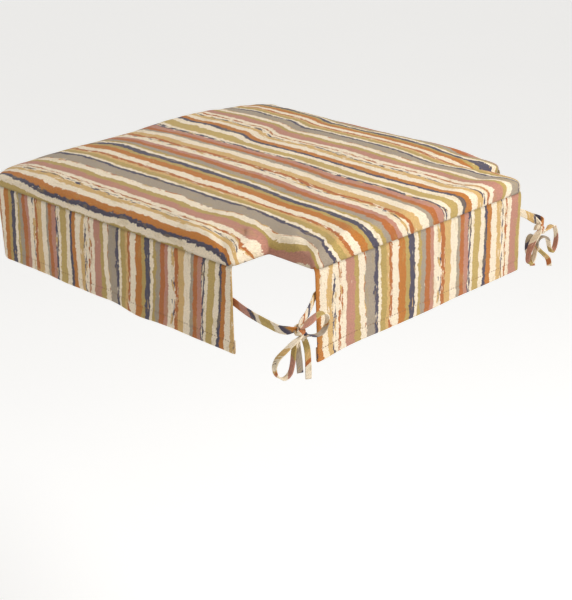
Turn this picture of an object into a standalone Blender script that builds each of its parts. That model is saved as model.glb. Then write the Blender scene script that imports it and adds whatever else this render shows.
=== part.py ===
"""Skirted seat pad for a dining chair with two square back posts.

A foam pad sits in a zipped cover. A skirt hangs from the seam round the cover's lower edge. It runs
in one piece along both sides and the front, with a second piece across the back, so that both rear
corners stay open for the chair's posts. Four fabric ties close the two corners in bows.

Metres, +Z up. The chair's front is -Y and the sitter's left is +X. The origin is the middle of the
underside, where the pad rests on the seat.
"""

import math

import bmesh
import bpy
from mathutils import Vector

# Plan of the pad at its seam.
FRONT_WIDTH = 0.432
REAR_WIDTH = 0.389
DEPTH = 0.489
NOTCH_WIDTH = 0.043
NOTCH_DEPTH = 0.062
FRONT_RADIUS = 0.034
NOTCH_RADIUS = 0.007
INNER_RADIUS_LIMIT = 0.035

# Heights. The top is rounded over at its edges and rises gently to a crown.
PAD_HEIGHT = 0.026
EDGE_HEIGHT = 0.0205
EDGE_REACH = 0.021
CROWN_REACH = 0.085
SKIRT_DROP = 0.088

# Cloth and fits.
CLOTH = 0.0020
GAP = 0.0003
WALL_LEAN = 0.0004
LINING_INSET = CLOTH + GAP + WALL_LEAN
SKIRT_EDGE_SPACE = 0.0010

# Zip across the underside.
ZIP_Y = 0.130
ZIP_HALF_LENGTH = 0.160
ZIP_SLOT_HALF = 0.0115
SLOT_END_SPACE = 0.017
FOLD_WIDTH = 0.009
FOLD_HEIGHT = 0.0034
TAPE_BOTTOM = FOLD_HEIGHT + GAP
TAPE_THICKNESS = 0.0008
TAPE_OUTER = 0.0170
COIL_INNER = 0.0008
COIL_OUTER = 0.0026
COIL_HEIGHT = 0.0022
WEB_THICKNESS = 0.0008
SLIDER_LENGTH = 0.0090
SLIDER_WIDTH = 0.0088
PLATE_THICKNESS = 0.0009
PULL_LENGTH = 0.0240
PULL_WIDTH = 0.0060
PULL_THICKNESS = 0.0008
PULL_BOTTOM = 0.0005
PULL_BEHIND_PIN = 0.0005
STOP_LENGTH = 0.0030
STOP_CLEARANCE = 0.0012
FOAM_CHANNEL_HALF = 0.0180
FOAM_CHANNEL_TOP = 0.0088

# Ties, folded fabric strips drawn here as plain cords.
TIE_RADIUS = 0.0016
TIE_POINTS = 70

FRONT_Y = -DEPTH / 2
REAR_Y = DEPTH / 2
NOTCH_Y = REAR_Y - NOTCH_DEPTH
NOTCH_X = REAR_WIDTH / 2 - NOTCH_WIDTH

# Routes of the ties in millimetres, from the end sewn behind the skirt to the free end.
LEFT_SIDE_ROUTE = [
    (193.0, 168, -35), (193.0, 178, -36), (193.6, 189, -38.5), (194, 201, -41), (193.8, 215, -43),
    (193.6, 230, -44.5), (193.2, 240, -45.5), (190.5, 247, -46), (184, 250.5, -46.5),
    (178, 251.8, -47), (175, 252.8, -47.9), (173.8, 254.5, -49.7), (175.2, 256.4, -51.8),
    (179, 257.2, -53), (185.5, 257, -55), (192, 254, -60), (198, 249, -68), (200, 245.5, -77),
    (197.5, 245.5, -86), (192, 248.5, -90.5), (187, 252, -86), (185.5, 254, -76),
    (184.8, 254.5, -66), (183.4, 254, -60.5), (180.6, 252.2, -57.6), (177.8, 250, -59),
    (176.4, 248.8, -64), (176.2, 248.8, -72), (177.2, 249, -81), (178.5, 249, -90),
]
LEFT_REAR_ROUTE = [
    (136, 240.1, -18.5), (144, 240.1, -20), (150, 240.3, -22), (155, 243.2, -25),
    (160.5, 246, -28.5), (166, 248, -33), (171.5, 249.6, -37.8), (175, 251.4, -40.4),
    (176.8, 254.6, -41.8), (175.2, 257.9, -41.6), (171.4, 259.4, -40), (166, 259.5, -37.5),
    (158, 258, -34.5), (149, 256, -34), (141.5, 254.5, -38.5), (138.5, 253.5, -46),
    (142, 254, -53.5), (150, 255.5, -56.5), (158.5, 257, -55.2), (164.4, 257.4, -52.6),
    (168, 255.8, -51.4), (169, 252.8, -53), (168.2, 250.4, -57), (167, 249.4, -63),
    (166.3, 249.2, -73), (166.8, 249.2, -86), (168.5, 249.5, -101),
]
RIGHT_SIDE_ROUTE = [
    (-193.0, 168, -35), (-193.0, 178, -35.5), (-193.8, 189, -37), (-194.2, 201, -38.5),
    (-194, 215, -40), (-193.8, 230, -41), (-193.2, 240, -41.5), (-190, 247, -42),
    (-183, 250.5, -42.5), (-177, 251.8, -43.5), (-174, 253, -44.6), (-172.8, 255.2, -46),
    (-174.3, 257.4, -47.2), (-178, 258.3, -47.5), (-185, 257.5, -46.8), (-193, 255, -46),
    (-203, 252, -49), (-210.5, 250, -57), (-214, 249, -68), (-211.5, 249, -78),
    (-205.5, 249.5, -81), (-199.5, 250.5, -73), (-194, 252, -63.5), (-187, 253.5, -57.5),
    (-181, 252.9, -56), (-177, 251.2, -57.2), (-175.9, 249.6, -61.2), (-178, 248.8, -67),
    (-184.5, 248.8, -74), (-193, 249, -81), (-200, 249.5, -88), (-203.5, 249.5, -97),
]
RIGHT_REAR_ROUTE = [
    (-136, 240.1, -18.5), (-144, 240.1, -20), (-150, 240.3, -22), (-155, 243.2, -24),
    (-160, 246, -27), (-165.5, 248.5, -31), (-170, 251.2, -35), (-171.9, 255, -38.2),
    (-169.6, 258, -41.8), (-165.2, 258.4, -46.5), (-160, 256.5, -54), (-157, 254.5, -64),
    (-156.8, 253, -73), (-158.4, 252.6, -79), (-162.3, 252.6, -82), (-166.2, 252.9, -79),
    (-167.8, 253.5, -73), (-168.6, 254, -65), (-169.2, 253.9, -57), (-168.6, 252.9, -52.4),
    (-166, 251, -50.4), (-163, 249.2, -52.4), (-161.6, 248.4, -58), (-162, 248.2, -67),
    (-167, 248.2, -77), (-172.5, 248.6, -88),
]


def clear_scene():
    for existing in list(bpy.data.objects):
        bpy.data.objects.remove(existing, do_unlink=True)


def material(name, colour, roughness, metallic=0.0):
    made = bpy.data.materials.new(name)
    made.use_nodes = True
    shader = made.node_tree.nodes["Principled BSDF"]
    shader.inputs["Base Color"].default_value = (*colour, 1.0)
    shader.inputs["Roughness"].default_value = roughness
    shader.inputs["Metallic"].default_value = metallic
    return made


def add_object(name, mesh, finish):
    made = bpy.data.objects.new(name, mesh)
    mesh.materials.append(finish)
    bpy.context.collection.objects.link(made)
    return made


def mesh_from(name, bm, smooth_below=math.radians(35)):
    bmesh.ops.recalc_face_normals(bm, faces=bm.faces)
    mesh = bpy.data.meshes.new(name)
    bm.to_mesh(mesh)
    bm.free()
    mesh.shade_smooth()
    mesh.set_sharp_from_angle(angle=smooth_below)
    return mesh


def rounded(before, corner, after, radius, steps):
    """Points of the arc that rounds one corner of an outline."""
    to_before = (before - corner).normalized()
    to_after = (after - corner).normalized()
    half = to_before.angle(to_after) / 2
    middle = corner + (to_before + to_after).normalized() * (radius / math.sin(half))
    start = corner + to_before * (radius / math.tan(half)) - middle
    end = corner + to_after * (radius / math.tan(half)) - middle
    sweep = start.angle_signed(end)
    points = []
    for step in range(steps + 1):
        turn = -sweep * step / steps
        cosine, sine = math.cos(turn), math.sin(turn)
        points.append(
            middle + Vector((start.x * cosine - start.y * sine, start.x * sine + start.y * cosine))
        )
    return points


def side_x(y, inset=0.0):
    """Where the slanted left side lies at a given y."""
    share = (y - FRONT_Y) / DEPTH
    return FRONT_WIDTH / 2 + (REAR_WIDTH - FRONT_WIDTH) / 2 * share - inset


def plan(inset):
    """The pad's outline, moved in by inset, as one closed loop of points."""
    front = FRONT_Y + inset
    rear = REAR_Y - inset
    notch_y = NOTCH_Y - inset
    notch_x = NOTCH_X - inset
    outer = max(FRONT_RADIUS - inset, 0.002)
    small = max(NOTCH_RADIUS - inset, 0.001)
    right_half = [
        (Vector((side_x(front, inset), front)), outer, 6),
        (Vector((side_x(notch_y, inset), notch_y)), small, 3),
        (Vector((notch_x, notch_y)), min(0.003 + inset, INNER_RADIUS_LIMIT), 3),
        (Vector((notch_x, rear)), small, 3),
    ]
    left_half = [(Vector((-p.x, p.y)), radius, steps) for p, radius, steps in reversed(right_half)]
    corners = right_half + left_half
    loop = []
    for index, (corner, radius, steps) in enumerate(corners):
        before = corners[index - 1][0]
        after = corners[(index + 1) % len(corners)][0]
        loop.extend(rounded(before, corner, after, radius, steps))
    return loop


def add_loop(bm, points, z):
    return [bm.verts.new((p.x, p.y, z)) for p in points]


def bridge(bm, lower, upper):
    for index in range(len(lower)):
        following = (index + 1) % len(lower)
        bm.faces.new((lower[index], lower[following], upper[following], upper[index]))


def dome_profile(offset, floor):
    """Inset and height pairs from the seam over the rounded edge to the crown, moved in by offset."""
    steps = 5
    pairs = [(offset, 0.0)]
    for step in range(1, steps + 1):
        angle = math.pi / 2 * step / steps
        inset = EDGE_REACH * (1 - math.cos(angle))
        height = EDGE_HEIGHT * math.sin(angle)
        pairs.append((inset + offset * math.cos(angle), height - offset * math.sin(angle)))
    for share in (0.35, 0.7, 1.0):
        rise = (PAD_HEIGHT - EDGE_HEIGHT) * math.sin(math.pi / 2 * share)
        pairs.append((EDGE_REACH + CROWN_REACH * share, EDGE_HEIGHT + rise - offset))
    (first_inset, first_height), (next_inset, next_height) = pairs[:2]
    climb = floor / next_height
    pairs[0] = (first_inset + (next_inset - first_inset) * climb, first_height + floor)
    return pairs


def add_dome(bm, offset, floor):
    loops = [add_loop(bm, plan(inset), z) for inset, z in dome_profile(offset, floor)]
    for lower, upper in zip(loops, loops[1:]):
        bridge(bm, lower, upper)
    bm.faces.new(loops[-1])
    return loops[0]


def build_top_cover():
    bm = bmesh.new()
    outside = add_dome(bm, 0.0, 0.0)
    inside = add_dome(bm, CLOTH, 0.0)
    bridge(bm, outside, inside)
    add_object("top_cover", mesh_from("top_cover", bm), material("striped_weave", (0.62, 0.47, 0.31), 0.9))


def box_mesh(bm, low, high):
    made = bmesh.ops.create_cube(bm, size=1.0)
    size = Vector(high) - Vector(low)
    middle = (Vector(high) + Vector(low)) / 2
    for vert in made["verts"]:
        vert.co = Vector((vert.co.x * size.x, vert.co.y * size.y, vert.co.z * size.z)) + middle
    return made["verts"]


def cutter(name, low, high):
    bm = bmesh.new()
    box_mesh(bm, low, high)
    made = bpy.data.objects.new(name, mesh_from(name, bm))
    bpy.context.collection.objects.link(made)
    made.hide_render = True
    made.display_type = "WIRE"
    return made


def build_foam():
    bm = bmesh.new()
    floor = FOLD_HEIGHT + GAP
    rim = add_dome(bm, CLOTH + GAP, floor)
    bm.faces.new(list(reversed(rim)))
    foam = add_object("foam_insert", mesh_from("foam_insert", bm), material("foam", (0.88, 0.84, 0.70), 0.95))
    channel_end = ZIP_HALF_LENGTH + SLOT_END_SPACE
    channel = cutter(
        "zip_channel",
        (-channel_end, ZIP_Y - FOAM_CHANNEL_HALF, 0.0),
        (channel_end, ZIP_Y + FOAM_CHANNEL_HALF, FOAM_CHANNEL_TOP),
    )
    cut = foam.modifiers.new("zip_channel", "BOOLEAN")
    cut.operation = "DIFFERENCE"
    cut.object = channel


def extrude_outline(bm, points, low, high):
    lower = add_loop(bm, points, low)
    upper = add_loop(bm, points, high)
    bridge(bm, lower, upper)
    bm.faces.new(list(reversed(lower)))
    bm.faces.new(upper)


def slot_steps(facing):
    """The stepped edge of a bottom panel, from -X to +X: facing is -1 in front of the zip."""
    near = ZIP_Y + facing * GAP / 2
    away = ZIP_Y + facing * ZIP_SLOT_HALF
    end = ZIP_HALF_LENGTH + SLOT_END_SPACE
    limit = side_x(near, LINING_INSET)
    return [(-limit, near), (-end, near), (-end, away), (end, away), (end, near), (limit, near)]


def build_bottom_panels():
    """The lining is folded double along the zip, so it is thicker there."""
    finish = material("striped_lining", (0.62, 0.47, 0.31), 0.9)
    outline = plan(LINING_INSET)
    for name, facing in (("bottom_front_panel", -1), ("bottom_rear_panel", 1)):
        kept = [p for p in outline if (p.y - ZIP_Y) * facing > 0]
        if facing > 0:
            steps = slot_steps(facing)
        else:
            first = next(i for i, p in enumerate(kept) if p.x < 0)
            kept = kept[first:] + kept[:first]
            steps = list(reversed(slot_steps(facing)))
        points = kept + [Vector(p) for p in steps]
        bm = bmesh.new()
        extrude_outline(bm, points, 0.0, CLOTH)
        panel = add_object(name, mesh_from(name, bm), finish)
        inner = ZIP_Y + facing * ZIP_SLOT_HALF
        outer = inner + facing * FOLD_WIDTH
        end = ZIP_HALF_LENGTH + SLOT_END_SPACE
        low, high = sorted((inner, outer))
        fold = cutter(name + "_fold", (-end, low, CLOTH / 2), (end, high, FOLD_HEIGHT))
        join = panel.modifiers.new("fold", "BOOLEAN")
        join.operation = "UNION"
        join.object = fold


def offset_path(points, distance):
    """The same path moved to its left by distance, in plan."""
    moved = []
    for index, point in enumerate(points):
        before = points[max(index - 1, 0)]
        after = points[min(index + 1, len(points) - 1)]
        along = (after - before).normalized()
        moved.append(point + Vector((-along.y, along.x)) * distance)
    return moved


def build_strip(name, path, finish, bottom):
    """A hanging strip of cloth whose outer face follows path, anticlockwise seen from above."""
    inner = offset_path(path, CLOTH)
    outline = path + list(reversed(inner))
    bm = bmesh.new()
    extrude_outline(bm, outline, bottom, -GAP)
    add_object(name, mesh_from(name, bm), finish)


def build_skirts():
    finish = material("striped_skirt", (0.60, 0.45, 0.30), 0.9)
    edge_y = NOTCH_Y - SKIRT_EDGE_SPACE
    start = Vector((-side_x(edge_y), edge_y))
    end = Vector((side_x(edge_y), edge_y))
    front_right = Vector((-side_x(FRONT_Y), FRONT_Y))
    front_left = Vector((side_x(FRONT_Y), FRONT_Y))
    path = [start]
    path += rounded(start, front_right, front_left, FRONT_RADIUS, 8)
    path += rounded(front_right, front_left, end, FRONT_RADIUS, 8)
    path += [end]
    build_strip("skirt_front_sides", path, finish, -SKIRT_DROP)
    half = NOTCH_X - SKIRT_EDGE_SPACE
    rear = [Vector((half, REAR_Y)), Vector((-half, REAR_Y))]
    build_strip("skirt_rear", rear, finish, -SKIRT_DROP)


def smooth_route(points, count):
    """Evenly spaced points along a Catmull-Rom curve through the route, in metres."""
    knots = [Vector(p) / 1000 for p in points]
    dense = []
    per_span = 24
    for index in range(len(knots) - 1):
        p0 = knots[max(index - 1, 0)]
        p1 = knots[index]
        p2 = knots[index + 1]
        p3 = knots[min(index + 2, len(knots) - 1)]
        for step in range(per_span):
            t = step / per_span
            dense.append(
                0.5 * (2 * p1 + (p2 - p0) * t + (2 * p0 - 5 * p1 + 4 * p2 - p3) * t * t
                       + (3 * p1 - p0 - 3 * p2 + p3) * t * t * t)
            )
    dense.append(knots[-1])
    walked = [0.0]
    for here, there in zip(dense, dense[1:]):
        walked.append(walked[-1] + (there - here).length)
    even = []
    at = 0
    for step in range(count):
        target = walked[-1] * step / (count - 1)
        while at < len(dense) - 2 and walked[at + 1] < target:
            at += 1
        share = (target - walked[at]) / (walked[at + 1] - walked[at])
        even.append(dense[at].lerp(dense[at + 1], min(max(share, 0.0), 1.0)))
    return even


def build_tie(name, route):
    curve = bpy.data.curves.new(name, "CURVE")
    curve.dimensions = "3D"
    curve.bevel_depth = TIE_RADIUS
    curve.bevel_resolution = 2
    curve.use_fill_caps = True
    points = smooth_route(route, TIE_POINTS)
    spline = curve.splines.new("POLY")
    spline.points.add(len(points) - 1)
    for slot, point in zip(spline.points, points):
        slot.co = (*point, 1.0)
    made = bpy.data.objects.new(name, curve)
    curve.materials.append(material(name + "_fabric", (0.66, 0.55, 0.40), 0.9))
    bpy.context.collection.objects.link(made)


def build_ties():
    build_tie("tie_left_side", LEFT_SIDE_ROUTE)
    build_tie("tie_left_rear", LEFT_REAR_ROUTE)
    build_tie("tie_right_side", RIGHT_SIDE_ROUTE)
    build_tie("tie_right_rear", RIGHT_REAR_ROUTE)


def build_box(name, low, high, finish, chamfer=0.0):
    bm = bmesh.new()
    box_mesh(bm, low, high)
    if chamfer:
        bmesh.ops.bevel(bm, geom=bm.edges[:], offset=chamfer, segments=1, affect="EDGES")
    return add_object(name, mesh_from(name, bm, math.radians(20)), finish)


def build_zip_strips():
    tape = material("zip_tape", (0.70, 0.62, 0.48), 0.85)
    coil = material("zip_coil", (0.66, 0.58, 0.44), 0.5)
    coil_middle = TAPE_BOTTOM + TAPE_THICKNESS / 2
    for label, facing in (("front", -1), ("rear", 1)):
        low, high = sorted((facing * (COIL_OUTER + GAP), facing * TAPE_OUTER))
        build_box(
            "zip_tape_" + label,
            (-ZIP_HALF_LENGTH, ZIP_Y + low, TAPE_BOTTOM),
            (ZIP_HALF_LENGTH, ZIP_Y + high, TAPE_BOTTOM + TAPE_THICKNESS),
            tape,
        )
        low, high = sorted((facing * COIL_INNER, facing * COIL_OUTER))
        run = ZIP_HALF_LENGTH - STOP_LENGTH - GAP
        build_box(
            "zip_coil_" + label,
            (-run, ZIP_Y + low, coil_middle - COIL_HEIGHT / 2),
            (run, ZIP_Y + high, coil_middle + COIL_HEIGHT / 2),
            coil,
            0.0004,
        )


def slider_home():
    """The slider's middle with the zip closed."""
    return ZIP_HALF_LENGTH - STOP_LENGTH - STOP_CLEARANCE - SLIDER_LENGTH / 2


def build_zip_stops():
    metal = material("zip_stop", (0.55, 0.54, 0.50), 0.35, 0.9)
    coil_middle = TAPE_BOTTOM + TAPE_THICKNESS / 2
    low_z = coil_middle - COIL_HEIGHT / 2
    high_z = coil_middle + COIL_HEIGHT / 2
    for label, facing in (("front", -1), ("rear", 1)):
        low, high = sorted((facing * (WEB_THICKNESS / 2), facing * COIL_OUTER))
        build_box(
            "zip_top_stop_" + label,
            (ZIP_HALF_LENGTH - STOP_LENGTH, ZIP_Y + low, low_z),
            (ZIP_HALF_LENGTH, ZIP_Y + high, high_z),
            metal,
            0.0003,
        )
    build_box(
        "zip_bottom_stop",
        (-ZIP_HALF_LENGTH, ZIP_Y - COIL_OUTER, low_z),
        (-ZIP_HALF_LENGTH + STOP_LENGTH, ZIP_Y + COIL_OUTER, high_z),
        metal,
        0.0003,
    )


def build_zip_slider():
    """Two plates joined by a web that runs between the coils, with a lug under them for the pull."""
    coil_middle = TAPE_BOTTOM + TAPE_THICKNESS / 2
    below = coil_middle - COIL_HEIGHT / 2 - GAP
    above = coil_middle + COIL_HEIGHT / 2 + GAP
    half_length = SLIDER_LENGTH / 2
    half_width = SLIDER_WIDTH / 2
    bm = bmesh.new()
    outline = [
        Vector((-half_length, -half_width * 0.7)),
        Vector((half_length * 0.4, -half_width)),
        Vector((half_length, -half_width * 0.75)),
        Vector((half_length, half_width * 0.75)),
        Vector((half_length * 0.4, half_width)),
        Vector((-half_length, half_width * 0.7)),
    ]
    extrude_outline(bm, outline, below - PLATE_THICKNESS, below)
    metal = material("zip_slider_metal", (0.58, 0.56, 0.52), 0.32, 0.95)
    slider = add_object("zip_slider", mesh_from("zip_slider", bm), metal)
    slider.location = (slider_home(), ZIP_Y, 0.0)
    web_half = WEB_THICKNESS / 2
    lug_top = below - PLATE_THICKNESS / 2
    lug_half = PULL_WIDTH / 2 + 0.0011
    pieces = {
        "web": ((-half_length * 0.8, -web_half, below - 0.0004), (half_length * 0.8, web_half, above + 0.0004)),
        "upper_plate": (
            (-half_length * 0.9, -half_width * 0.8, above),
            (half_length * 0.9, half_width * 0.8, above + PLATE_THICKNESS),
        ),
        "lug_front": ((-0.0012, -lug_half, PULL_BOTTOM), (0.0012, -lug_half + 0.0008, lug_top)),
        "lug_rear": ((-0.0012, lug_half - 0.0008, PULL_BOTTOM), (0.0012, lug_half, lug_top)),
    }
    for name, (low, high) in pieces.items():
        tool = cutter("slider_" + name, low, high)
        tool.location = slider.location
        join = slider.modifiers.new(name, "BOOLEAN")
        join.operation = "UNION"
        join.object = tool


def build_zip_pull():
    """A flat tab with a cross pin; its origin is on the pin's axis."""
    half_width = PULL_WIDTH / 2
    pin_height = PULL_BOTTOM + PULL_THICKNESS / 2
    bm = bmesh.new()
    outline = [
        Vector((PULL_BEHIND_PIN, -half_width)),
        Vector((PULL_BEHIND_PIN, half_width)),
        Vector((-0.0060, half_width)),
        Vector((-0.0085, half_width * 0.6)),
        Vector((-0.0150, half_width * 0.6)),
        Vector((-0.0180, half_width)),
        Vector((-PULL_LENGTH + 0.0015, half_width)),
        Vector((-PULL_LENGTH, half_width * 0.5)),
        Vector((-PULL_LENGTH, -half_width * 0.5)),
        Vector((-PULL_LENGTH + 0.0015, -half_width)),
        Vector((-0.0180, -half_width)),
        Vector((-0.0150, -half_width * 0.6)),
        Vector((-0.0085, -half_width * 0.6)),
        Vector((-0.0060, -half_width)),
    ]
    extrude_outline(bm, outline, -PULL_THICKNESS / 2, PULL_THICKNESS / 2)
    metal = material("zip_pull_metal", (0.60, 0.58, 0.54), 0.30, 0.95)
    pull = add_object("zip_pull_tab", mesh_from("zip_pull_tab", bm), metal)
    pull.location = (slider_home(), ZIP_Y, pin_height)


def main():
    clear_scene()
    build_top_cover()
    build_foam()
    build_bottom_panels()
    build_skirts()
    build_ties()
    build_zip_strips()
    build_zip_stops()
    build_zip_slider()
    build_zip_pull()


main()
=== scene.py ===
"""Looks of the skirted chair seat pad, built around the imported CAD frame.

Metres, +Z up. The chair's front is -Y and the sitter's left is +X. z = 0 is the seam where the top
cover, the skirt and the lining meet.
"""

import math

import bmesh
import bpy
import numpy as np
from mathutils import Matrix, Vector, noise
from mathutils.geometry import delaunay_2d_cdt


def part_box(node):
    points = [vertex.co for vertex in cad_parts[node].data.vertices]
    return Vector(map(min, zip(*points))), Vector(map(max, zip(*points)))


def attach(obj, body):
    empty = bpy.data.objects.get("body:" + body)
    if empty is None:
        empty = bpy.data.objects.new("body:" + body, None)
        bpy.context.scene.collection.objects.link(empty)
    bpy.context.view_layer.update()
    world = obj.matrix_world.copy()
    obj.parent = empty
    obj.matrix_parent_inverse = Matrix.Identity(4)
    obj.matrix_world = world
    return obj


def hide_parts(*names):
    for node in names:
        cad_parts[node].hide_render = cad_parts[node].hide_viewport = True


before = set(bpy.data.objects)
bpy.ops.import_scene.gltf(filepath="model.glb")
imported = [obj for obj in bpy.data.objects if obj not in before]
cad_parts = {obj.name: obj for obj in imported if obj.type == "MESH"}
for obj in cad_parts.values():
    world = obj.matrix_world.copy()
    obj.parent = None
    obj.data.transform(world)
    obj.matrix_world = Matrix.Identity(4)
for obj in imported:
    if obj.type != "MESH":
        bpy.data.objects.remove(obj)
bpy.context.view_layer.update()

MM = 0.001

# ---------------------------------------------------------------- driving dimensions
FRONT_WIDTH = 0.432
REAR_WIDTH = 0.389
FRONT_RADIUS = 0.034
NOTCH_RADIUS = 0.007
NOTCH_INNER_RADIUS = 0.003
NOTCH_WIDTH = 0.043
NOTCH_DEPTH = 0.062

ZIP_Y = 0.130
SLOT_HALF = 0.0115
SLOT_END = 0.177

TIE_WIDTH = 0.0082
TIE_THICKNESS = 0.0016
KNOT_LEFT = Vector((0.1825, 0.2545, -0.0440))
KNOT_RIGHT = Vector((-0.1720, 0.2545, -0.0430))

# ---------------------------------------------------------------- read from the frame
TOP_LOW, TOP_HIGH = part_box("top_cover")
FRONT_Y = TOP_LOW.y
REAR_Y = TOP_HIGH.y
HEM_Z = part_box("skirt_rear")[0].z
NOTCH_Y = REAR_Y - NOTCH_DEPTH
NOTCH_X = REAR_WIDTH / 2 - NOTCH_WIDTH

# ---------------------------------------------------------------- camera, light, floor
CAMERA_PLACE = (0.7523, 0.8842, 0.3507)
CAMERA_YAW = 2.4183
CAMERA_PITCH = 0.4062
CAMERA_ROLL = -0.0406
CAMERA_LENS = 63.98
SENSOR = 36.0
WARM_WHITE = (1.0, 0.99, 0.97, 1.0)
WORLD_STRENGTH = 0.56
KEY_PLACE = (-0.50, 1.50, 1.50)
KEY_TARGET = (0.0, 0.05, 0.0)
KEY_SIZE = 1.0
KEY_POWER = 38.5
FLOOR_GLOW = 0.30
FLOOR_Z = -1.10
FLOOR_HALF = 20.0

# ---------------------------------------------------------------- fabric
# One repeat of the cloth: colour, width in millimetres, and how much of the stripe is unbroken.
STRIPES = [
    ("mauve", 11.0, 0.97), ("olive", 6.0, 0.95), ("cream", 7.2, 1.0), ("rust", 1.6, 0.45),
    ("grey", 12.8, 0.98), ("navy", 4.1, 0.80), ("cream", 4.2, 1.0), ("olive", 7.0, 0.92),
    ("sand", 4.2, 0.8), ("rust", 4.6, 0.70), ("cream", 8.9, 1.0), ("amber", 9.4, 0.97),
    ("olive", 5.4, 0.92), ("navy", 7.0, 0.86), ("cream", 5.0, 1.0), ("olive", 3.9, 0.85),
    ("grey", 6.7, 0.95), ("rust", 7.5, 0.97), ("mauve", 6.1, 0.95), ("cream", 6.1, 0.9),
    ("navy", 5.0, 0.34), ("rust", 4.9, 0.72), ("sand", 9.6, 0.86), ("cream", 9.2, 1.0),
    ("grey", 5.0, 0.92), ("rust", 6.6, 0.97), ("mauve", 7.6, 0.95), ("navy", 4.1, 0.58),
    ("cream", 3.8, 1.0), ("straw", 10.4, 0.96), ("cream", 6.6, 1.0), ("navy", 4.5, 0.90),
    ("amber", 7.6, 0.98), ("cream", 8.9, 1.0), ("sand", 6.8, 0.74), ("navy", 3.6, 0.44),
    ("cream", 3.4, 1.0), ("rust", 3.3, 0.55), ("cream", 6.7, 1.0),
]
REPEAT = sum(width for _, width, _ in STRIPES) * MM
NAVY_END = sum(width for _, width, _ in STRIPES[:6]) * MM
PALETTE = {
    "cream": (238, 221, 194),
    "sand": (208, 170, 110),
    "straw": (190, 162, 97),
    "olive": (181, 154, 90),
    "amber": (186, 117, 51),
    "rust": (179, 106, 55),
    "mauve": (187, 133, 113),
    "grey": (164, 149, 130),
    "navy": (82, 76, 90),
    "thread": (142, 106, 72),
}
# Where the end of the navy stripe that follows the wide grey one lies on the top and the rear skirt.
TOP_NAVY_X = 0.1195
BACK_NAVY_X = 0.0707
# The place on the cloth, across its stripes, where the side skirt starts.
SIDE_START = 0.2145


# ================================================================ helpers
def linear(colour):
    """Linear colour of an 0 to 255 display colour."""
    shares = [c / 255 for c in colour]
    return tuple(s / 12.92 if s <= 0.04045 else ((s + 0.055) / 1.055) ** 2.4 for s in shares) + (1.0,)


def smoothstep(low, high, value):
    share = np.clip((value - low) / (high - low), 0.0, 1.0)
    return share * share * (3 - 2 * share)


def hump(value, middle, reach):
    """A smooth bell of height 1."""
    return np.exp(-(((value - middle) / reach) ** 2))


def wave(x, y, z):
    """Smooth noise from about -1 to 1 that is the same each run."""
    return noise.noise(Vector((x, y, z)))


def unit_rows(rows):
    """Each row scaled to length 1."""
    return rows / np.linalg.norm(rows, axis=1)[:, None]


def distances_along(path):
    """How far along a path each of its points lies."""
    return np.concatenate([[0], np.cumsum(np.linalg.norm(np.diff(path, axis=0), axis=1))])


def path_frame(path):
    """Unit directions along a level path, and outward of it."""
    tangents = unit_rows(np.gradient(path, axis=0))
    return tangents, np.column_stack([-tangents[:, 1], tangents[:, 0]])


def box_corners(x0, x1, y0, y1):
    return [(x0, y0), (x1, y0), (x1, y1), (x0, y1)]


def new_object(name, data):
    made = bpy.data.objects.new(name, data)
    bpy.context.scene.collection.objects.link(made)
    return made


def mesh_object(name, verts, faces, materials, smooth=True):
    mesh = bpy.data.meshes.new(name)
    mesh.from_pydata([tuple(v) for v in verts], [], [tuple(int(i) for i in f) for f in faces])
    mesh.validate()
    mesh.update()
    for material in materials:
        mesh.materials.append(material)
    if smooth:
        mesh.shade_smooth()
    return new_object(name, mesh)


def set_fabric(obj, coords, shade=None):
    """Stores each point's place on the flat cloth, in metres across and along the stripes, and its painted
    shade as a third part.
    """
    layer = obj.data.attributes.new("cloth", "FLOAT_VECTOR", "POINT")
    flat = np.zeros((len(coords), 3), np.float32)
    flat[:, :2] = np.asarray(coords)[:, :2]
    if shade is not None:
        flat[:, 2] = shade
    layer.data.foreach_set("vector", flat.ravel())


def grid_faces(rows, columns, closed=False, looped=False, first=0):
    """Quads of a grid stored row by row; closed joins its last column to the first, looped its rows."""
    faces = []
    for row in range(rows if looped else rows - 1):
        here = first + row * columns
        there = first + (row + 1) % rows * columns
        for column in range(columns if closed else columns - 1):
            after = (column + 1) % columns
            faces.append((here + column, here + after, there + after, there + column))
    return faces


def tube_faces(rows, columns, first=0):
    """Quads of a tube stored ring by ring, and a cap at both of its ends."""
    last = first + (rows - 1) * columns
    caps = [tuple(first + c for c in reversed(range(columns))), tuple(last + c for c in range(columns))]
    return grid_faces(rows, columns, closed=True, first=first) + caps


def face_outward(obj):
    bm = bmesh.new()
    bm.from_mesh(obj.data)
    bmesh.ops.recalc_face_normals(bm, faces=bm.faces)
    bm.to_mesh(obj.data)
    bm.free()


def apply_modifiers(obj):
    graph = bpy.context.evaluated_depsgraph_get()
    graph.update()
    shaped = obj.evaluated_get(graph)
    mesh = bpy.data.meshes.new_from_object(shaped, preserve_all_data_layers=True, depsgraph=graph)
    obj.modifiers.clear()
    old = obj.data
    name = old.name
    obj.data = mesh
    bpy.data.meshes.remove(old)
    mesh.name = name


def solidify(obj, thickness, offset=-1.0, reverse_slot=0):
    """Gives a sheet its thickness, applied to the mesh."""
    thick = obj.modifiers.new("thickness", "SOLIDIFY")
    thick.thickness = thickness
    thick.offset = offset
    thick.use_even_offset = True
    thick.thickness_clamp = 1.0
    thick.material_offset = reverse_slot
    apply_modifiers(obj)


def subdivide(obj):
    more = obj.modifiers.new("finer", "SUBSURF")
    more.levels = 1
    more.render_levels = 1
    apply_modifiers(obj)


def register(piece, replaced=None, body="pad"):
    """Says which body a piece rides and which CAD node it replaces, and hides that node."""
    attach(piece, body)
    if replaced:
        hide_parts(replaced)


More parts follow.
